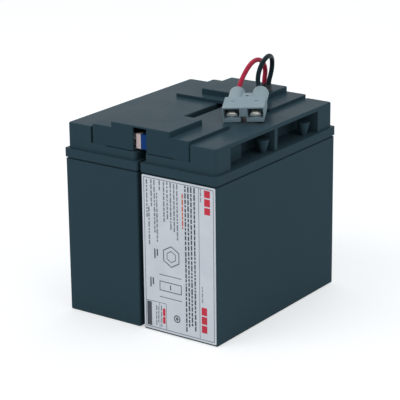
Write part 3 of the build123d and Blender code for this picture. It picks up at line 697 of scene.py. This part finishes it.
class CARTRIDGE_OT_leads(bpy.types.Operator):
    """Lay the two lead loops between the grommets and the connector"""

    bl_idname = "cartridge.leads"
    bl_label = "Lay leads"

    def execute(self, context):
        colours, sizes = context.scene.cartridge_colours, context.scene.cartridge_sizes
        jackets = {
            "red": moulded(
                "red_jacket", rgb(colours.red_lead), (0.6, 0.1, 0.12), smooth=0.35, rough=0.5,
                grain=500.0, wear=0.0,
            ),
            "black": moulded(
                "black_jacket", rgb(colours.black_lead), (0.05, 0.06, 0.07), smooth=0.3, rough=0.45,
                grain=500.0, wear=0.0,
            ),
        }
        for colour, route in LEAD_ROUTES.items():
            soften_gloss(jackets[colour], *JACKET_GLOSS[colour])
            lead = self.lay_loop(f"{colour}_lead_loop", route, sizes.lead_diameter / 2)
            lead.data.materials.append(jackets[colour])
            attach(lead, BODY)
            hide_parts(f"{colour}_lead")
            dress(f"{colour}_inner_lead", jackets[colour])
        return {"FINISHED"}

    def lay_loop(self, name, route, radius):
        """A round wire along a smooth curve that starts and ends with the route."""
        curve = bpy.data.curves.new(name, "CURVE")
        curve.dimensions = "3D"
        spline = curve.splines.new("NURBS")
        spline.points.add(len(route) - 1)
        for point, place in zip(spline.points, route):
            point.co = (*(value * MM for value in place), 1.0)
        spline.order_u = 3
        spline.use_endpoint_u = True
        spline.resolution_u = 12
        curve.bevel_depth = radius
        curve.bevel_resolution = 6
        curve.use_fill_caps = True
        return link(bpy.data.objects.new(name, curve))


class CARTRIDGE_OT_grommets(bpy.types.Operator):
    """Fit a rubber grommet round each lead where it enters the cover"""

    bl_idname = "cartridge.grommets"
    bl_label = "Fit grommets"

    def execute(self, context):
        rubber = moulded(
            "grommet_rubber", (0.012, 0.018, 0.022), (0.04, 0.05, 0.055), smooth=0.45, rough=0.6,
            grain=700.0,
        )
        profile = [(radius, BLOCK_TOP + height) for radius, height in GROMMET_PROFILE]
        for colour, centre in GROMMETS.items():
            points, faces = turned(profile, centre)
            grommet = mesh_piece(f"{colour}_grommet", points, faces, rubber)
            grommet.data.set_sharp_from_angle(angle=math.radians(40))
            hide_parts(f"{colour}_lead_grommet")
        return {"FINISHED"}


class CARTRIDGE_OT_connector(bpy.types.Operator):
    """Finish the connector housing, its contacts and their springs"""

    bl_idname = "cartridge.connector"
    bl_label = "Finish connector"

    def execute(self, context):
        colours = context.scene.cartridge_colours
        grey = moulded(
            "connector_plastic", rgb(colours.connector), (0.36, 0.41, 0.43),
            smooth=0.42, rough=0.56, grain=800.0, edge=0.0005, wear=0.5, dust=0.04,
        )
        silver = metal(
            "silver_plate", (0.9, 0.89, 0.82), (0.8, 0.77, 0.68), smooth=0.3, rough=0.45,
            metallic=0.55,
        )
        spring = metal("spring_steel", (0.6, 0.6, 0.6), (0.4, 0.4, 0.4), smooth=0.2, rough=0.35)
        dress("connector_housing", grey)
        dress("contact_springs", spring)
        for pole, across in CONTACTS.items():
            dress(f"{pole}_contact", silver)
            points, faces = pillow((across, TIP_ALONG, TIP_UP), TIP_HALF_SIZE, TIP_POWER)
            points = connector_points(points)
            mesh_piece(f"{pole}_contact_tip", points, faces, silver)
        return {"FINISHED"}


# The label's print, in millimetres from its lower left corner. A printed line is its place across
# and its low and high end. A rectangle is low x, low z, high x and high z.
LABEL_INSET, LABEL_LINE = 1.7, 0.45
LABEL_NEAR = LABEL_INSET + LABEL_LINE
LABEL_LONG_LINES = ((43.4, 3.8, 131.4), (46.3, 9.7, 131.2), (49.2, 6.5, 131.3), (52.4, 4.3, 131.4))
LABEL_SHORT_LINES = (
    (35.3, 79.9, 131.3), (32.2, 89.6, 131.2), (28.8, 88.2, 131.6), (25.4, 99.1, 131.5),
    (22.0, 93.7, 131.2), (17.7, 120.5, 131.6), (14.8, 76.9, 120.5), (12.4, 84.9, 131.2),
    (9.3, 106.0, 131.2), (6.6, 71.6, 107.4), (4.7, 96.7, 130.4),
)
LABEL_ORANGE_LINES = ((40.6, 91.9, 124.1),)
LABEL_COLUMN_RULE = (56.6, 57.0)
LABEL_COLUMN_LINES = ((58.7, 118.2, 131.5), (59.6, 31.6, 48.1))
LABEL_BOX_LINES = ((17.6, 3.4, 22.9), (14.2, 4.6, 21.4), (12.4, 3.4, 22.0))
LABEL_BOX_RULES = (
    (LABEL_NEAR, 24.9, 22.8, 25.3), (22.4, LABEL_NEAR, 22.8, 24.9), (15.6, LABEL_NEAR, 15.9, 24.9),
)
LABEL_PANEL = (
    (16.2, 36.2, 16.9, 44.8), (38.0, 36.2, 38.7, 44.8), (16.9, 44.1, 38.0, 44.8),
    (16.9, 36.2, 38.0, 36.9), (26.9, 38.4, 27.9, 42.6), (16.2, 30.4, 38.7, 31.0),
    (16.2, 50.0, 38.7, 50.6),
)
LABEL_RED_TOP = (
    (62.2, 110.6, 67.9, 116.4), (62.2, 117.6, 67.9, 123.8), (62.2, 125.0, 67.9, 131.0),
)
LABEL_RED_FOOT = ((58.6, 8.0, 64.0, 14.4), (58.6, 15.6, 64.0, 22.2), (58.6, 23.4, 64.0, 30.2))
LABEL_RED_MARK = ((19.0, 7.2, 21.6, 13.2), (19.0, 14.0, 21.6, 20.6))
LABEL_BLACK_FIELD = ((2.9, 2.9, 7.6, 24.2),)
LABEL_HEAVY_BARS = (
    (11.3, 63.4, 12.6, 71.9), (13.8, 65.9, 15.1, 71.9), (6.6, 37.6, 7.9, 46.1),
    (9.1, 40.1, 10.4, 46.1),
)
# Plain outlines: the middle, radius, number of corners, first corner's angle and line width
LABEL_OUTLINES = {
    "label_hexagon": ((28.6, 67.7), 9.4, 6, np.pi / 6, 0.9),
    "label_hexagon_inner": ((28.6, 67.7), 5.2, 6, np.pi / 6, 0.7),
    "label_ring": ((33.6, 14.2), 3.3, 40, 0.0, 1.0),
    "label_dot": ((33.6, 14.2), 1.4, 24, 0.0, 1.1),
}


# Shortest and longest dash and gap in place of a word, and how many are drawn for each line
DASH_LENGTH, DASH_GAP, DASH_COUNT = (1.6, 5.2), (0.7, 1.1), 60


def dashes(lines, width, seed):
    """Rows of dashes of uneven length in place of text.

    The lengths and gaps of each line come from one seeded draw, and a dash is kept while its end is
    inside the line.
    """
    draw = np.random.default_rng(seed)
    rows = []
    for x, low, high in lines:
        lengths = draw.uniform(*DASH_LENGTH, DASH_COUNT)
        gaps = draw.uniform(*DASH_GAP, DASH_COUNT)
        tops = high - np.concatenate([[0.0], np.cumsum(lengths + gaps)[:-1]])
        bottoms = tops - lengths
        kept = bottoms > low
        near, far = np.full(kept.sum(), x - width / 2), np.full(kept.sum(), x + width / 2)
        rows.append(np.stack([near, bottoms[kept], far, tops[kept]], axis=1))
    return np.concatenate(rows)


def border(width, height):
    """The four lines round the label and the one beside its last column."""
    right, top = width - LABEL_INSET, height - LABEL_INSET
    return (
        (LABEL_INSET, LABEL_INSET, LABEL_NEAR, top),
        (right - LABEL_LINE, LABEL_INSET, right, top),
        (LABEL_NEAR, top - LABEL_LINE, right - LABEL_LINE, top),
        (LABEL_NEAR, LABEL_INSET, right - LABEL_LINE, LABEL_NEAR),
        (LABEL_COLUMN_RULE[0], LABEL_NEAR, LABEL_COLUMN_RULE[1], top - LABEL_LINE),
    )


class CARTRIDGE_OT_label(bpy.types.Operator):
    """Print the label with plain bars, fields and simple shapes"""

    bl_idname = "cartridge.label"
    bl_label = "Print label"

    def execute(self, context):
        colours, sizes = context.scene.cartridge_colours, context.scene.cartridge_sizes
        low, high = (np.array(corner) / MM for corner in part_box("label"))
        corner = np.array([low[0], low[2]])
        thickness = sizes.ink_thickness / MM
        front = low[1] - thickness
        paper, dark_ink, red_ink = rgb(colours.paper), rgb(colours.dark_ink), rgb(colours.red_ink)
        dress("label", printed_film("label_film", paper, paler(paper, 1.07)))
        dark = printed_film("dark_ink", dark_ink, paler(dark_ink, 1.4))
        grey = printed_film("grey_ink", (0.2, 0.21, 0.25), (0.26, 0.27, 0.31))
        red = printed_film("red_ink", red_ink, paler(red_ink, 1.15))
        orange = printed_film("orange_ink", (0.75, 0.1, 0.035), (0.8, 0.14, 0.05))
        rules = border(high[0] - low[0], high[2] - low[2]) + LABEL_BOX_RULES + LABEL_PANEL
        prints = (
            ("label_frame_print", rules, dark),
            ("label_long_text", dashes(LABEL_LONG_LINES, width=1.45, seed=3), dark),
            ("label_short_text", dashes(LABEL_SHORT_LINES, width=1.3, seed=5), grey),
            ("label_orange_text", dashes(LABEL_ORANGE_LINES, width=1.35, seed=7), orange),
            ("label_red_top", LABEL_RED_TOP, red),
            ("label_red_foot", LABEL_RED_FOOT, red),
            ("label_red_mark", LABEL_RED_MARK, red),
            ("label_column_text", dashes(LABEL_COLUMN_LINES, width=0.9, seed=11), grey),
            ("label_box_text", dashes(LABEL_BOX_LINES, width=0.9, seed=13), grey),
            ("label_black_field", LABEL_BLACK_FIELD, dark),
            ("label_heavy_bars", LABEL_HEAVY_BARS, dark),
        )
        for name, rectangles, ink in prints:
            points, faces = slabs(np.asarray(rectangles) + np.tile(corner, 2), front, thickness)
            mesh_piece(name, points, faces, ink, smooth=False)
        for name, (centre, radius, steps, turn, width) in LABEL_OUTLINES.items():
            outline = ring_outline(centre, radius, steps, turn) + corner
            points, faces = outline_band(outline, width, front, thickness)
            mesh_piece(name, points, faces, dark, smooth=False)
        return {"FINISHED"}


# The stage, in metres
PART_MIDDLE = (0.0, 0.0, 0.09)
TOP_LIGHT_SHARE = 0.7
FLOOR_RADIUS, FLOOR_DROP, FLOOR_STEPS = 6.0, 0.0002, 96
FLOOR_GLOW = 0.5
FLOOR_COLOURS = ((0.8, 0.81, 0.82, 1), (0.82, 0.83, 0.84, 1))
LIGHTING_SKY, SEEN_SKY = (0.9, 0.97, 1.0, 1), (1.0, 1.0, 1.0, 1)


class CARTRIDGE_OT_stage(bpy.types.Operator):
    """Set the pale floor, soft studio light and the camera"""

    bl_idname = "cartridge.stage"
    bl_label = "Set stage"

    def execute(self, context):
        settings = context.scene.cartridge_stage
        self.lay_floor()
        self.light_sky(settings.sky)
        self.hang_light("key_softbox", (-0.9, -1.5, 1.9), 1.6, settings.key_power)
        self.hang_light("fill_softbox", (2.0, -0.5, 1.0), 1.4, settings.fill_power)
        self.hang_light("top_softbox", (0.1, 0.9, 2.2), 1.8, settings.key_power * TOP_LIGHT_SHARE)
        context.scene.camera = self.set_camera(settings)
        context.scene.view_settings.view_transform = "Standard"
        return {"FINISHED"}

    def hang_light(self, name, place, size, power):
        """A square softbox that faces the part's middle."""
        data = bpy.data.lights.new(name, "AREA")
        data.shape, data.size, data.energy = "SQUARE", size, power
        lamp = link(bpy.data.objects.new(name, data))
        lamp.location = place
        x, y, z = np.array(PART_MIDDLE) - np.array(place)
        lamp.rotation_euler = Euler((math.atan2(math.hypot(x, y), -z), 0, math.atan2(-x, y)))

    def set_camera(self, settings):
        """A plain camera at the photo's angle: yaw, then pitch, then roll about its own axis."""
        yaw, pitch, roll = settings.camera_turn
        data = bpy.data.cameras.new("camera")
        data.sensor_width = 36.0
        data.lens = settings.lens
        data.clip_start, data.clip_end = 0.05, 50.0
        camera = link(bpy.data.objects.new("camera", data))
        camera.location = settings.camera_place
        turn = Euler((math.pi / 2 - pitch, 0, yaw)).to_matrix() @ Euler((0, 0, roll)).to_matrix()
        camera.rotation_euler = turn.to_euler()
        return camera

    def lay_floor(self):
        """A pale round floor just under the part, which reads white and keeps the shadow."""
        angle = np.linspace(0, 2 * np.pi, FLOOR_STEPS, endpoint=False)
        x, y = FLOOR_RADIUS * np.cos(angle), FLOOR_RADIUS * np.sin(angle)
        rim = np.stack([x, y, np.full(FLOOR_STEPS, -FLOOR_DROP)], axis=1)
        points = np.concatenate([rim, [[0.0, 0.0, -FLOOR_DROP]]])
        ring = np.arange(FLOOR_STEPS)
        centre = np.full(FLOOR_STEPS, FLOOR_STEPS)
        faces = np.stack([ring, (ring + 1) % FLOOR_STEPS, centre], axis=1)
        data = bpy.data.meshes.new("floor")
        data.from_pydata(points.tolist(), [], faces.tolist())
        material, w, shader, place = new_material("pale_floor")
        shader.inputs["Roughness"].default_value = 0.9
        shader.inputs["Specular IOR Level"].default_value = 0.1
        faint = w.spread(w.noise(place, 3.0), 0.3, 0.7)
        w.join(w.mix(faint, *FLOOR_COLOURS), shader.inputs["Base Color"])
        glow = w.add("ShaderNodeEmission")
        w.join(w.math("MULTIPLY", w.seen_directly(), FLOOR_GLOW), glow.inputs["Strength"])
        both = w.add("ShaderNodeAddShader")
        w.join(shader.outputs[0], both.inputs[0])
        w.join(glow.outputs[0], both.inputs[1])
        w.join(both.outputs[0], material.node_tree.nodes["Material Output"].inputs["Surface"])
        data.materials.append(material)
        link(bpy.data.objects.new("floor", data))

    def light_sky(self, strength):
        """An even pale sky that looks plain white and lights the part at the given strength."""
        world = bpy.data.worlds.new("studio_sky")
        bpy.context.scene.world = world
        world.use_nodes = True
        w = Wiring(world.node_tree)
        background = world.node_tree.nodes["Background"]
        seen = w.seen_directly()
        w.join(w.mix(seen, LIGHTING_SKY, SEEN_SKY), background.inputs["Color"])
        level = w.spread(seen, 0.0, 1.0, strength, 1.0, curve="LINEAR")
        w.join(level, background.inputs["Strength"])


class CARTRIDGE_PT_panel(bpy.types.Panel):
    """Lists the operators that build the cartridge's looks"""

    bl_idname = "CARTRIDGE_PT_panel"
    bl_label = "Battery cartridge"
    bl_space_type = "VIEW_3D"
    bl_region_type = "UI"
    bl_category = "Cartridge"

    def draw(self, context):
        for group in SETTINGS:
            settings = getattr(context.scene, group)
            column = self.layout.column()
            for name in settings.__annotations__:
                column.prop(settings, name)
        for operator in OPERATORS:
            self.layout.operator(operator.bl_idname)


OPERATORS = (
    CARTRIDGE_OT_stage,
    CARTRIDGE_OT_leads,
    CARTRIDGE_OT_grommets,
    CARTRIDGE_OT_shells,
    CARTRIDGE_OT_cells,
    CARTRIDGE_OT_fuse,
    CARTRIDGE_OT_connector,
    CARTRIDGE_OT_label,
)
SETTINGS = {
    "cartridge_colours": CartridgeColours,
    "cartridge_sizes": CartridgeSizes,
    "cartridge_stage": CartridgeStage,
}


def register():
    for name, group in SETTINGS.items():
        bpy.utils.register_class(group)
        setattr(bpy.types.Scene, name, bpy.props.PointerProperty(type=group))
    for operator in (*OPERATORS, CARTRIDGE_PT_panel):
        bpy.utils.register_class(operator)


def unregister():
    for operator in (*OPERATORS, CARTRIDGE_PT_panel):
        bpy.utils.unregister_class(operator)
    for name, group in SETTINGS.items():
        delattr(bpy.types.Scene, name)
        bpy.utils.unregister_class(group)


def main():
    """Builds every piece in order."""
    register()
    for operator in OPERATORS:
        group, name = operator.bl_idname.split(".")
        if getattr(getattr(bpy.ops, group), name)() != {"FINISHED"}:
            raise RuntimeError(f"{operator.bl_label} did not finish")


if __name__ == "__main__":
    main()
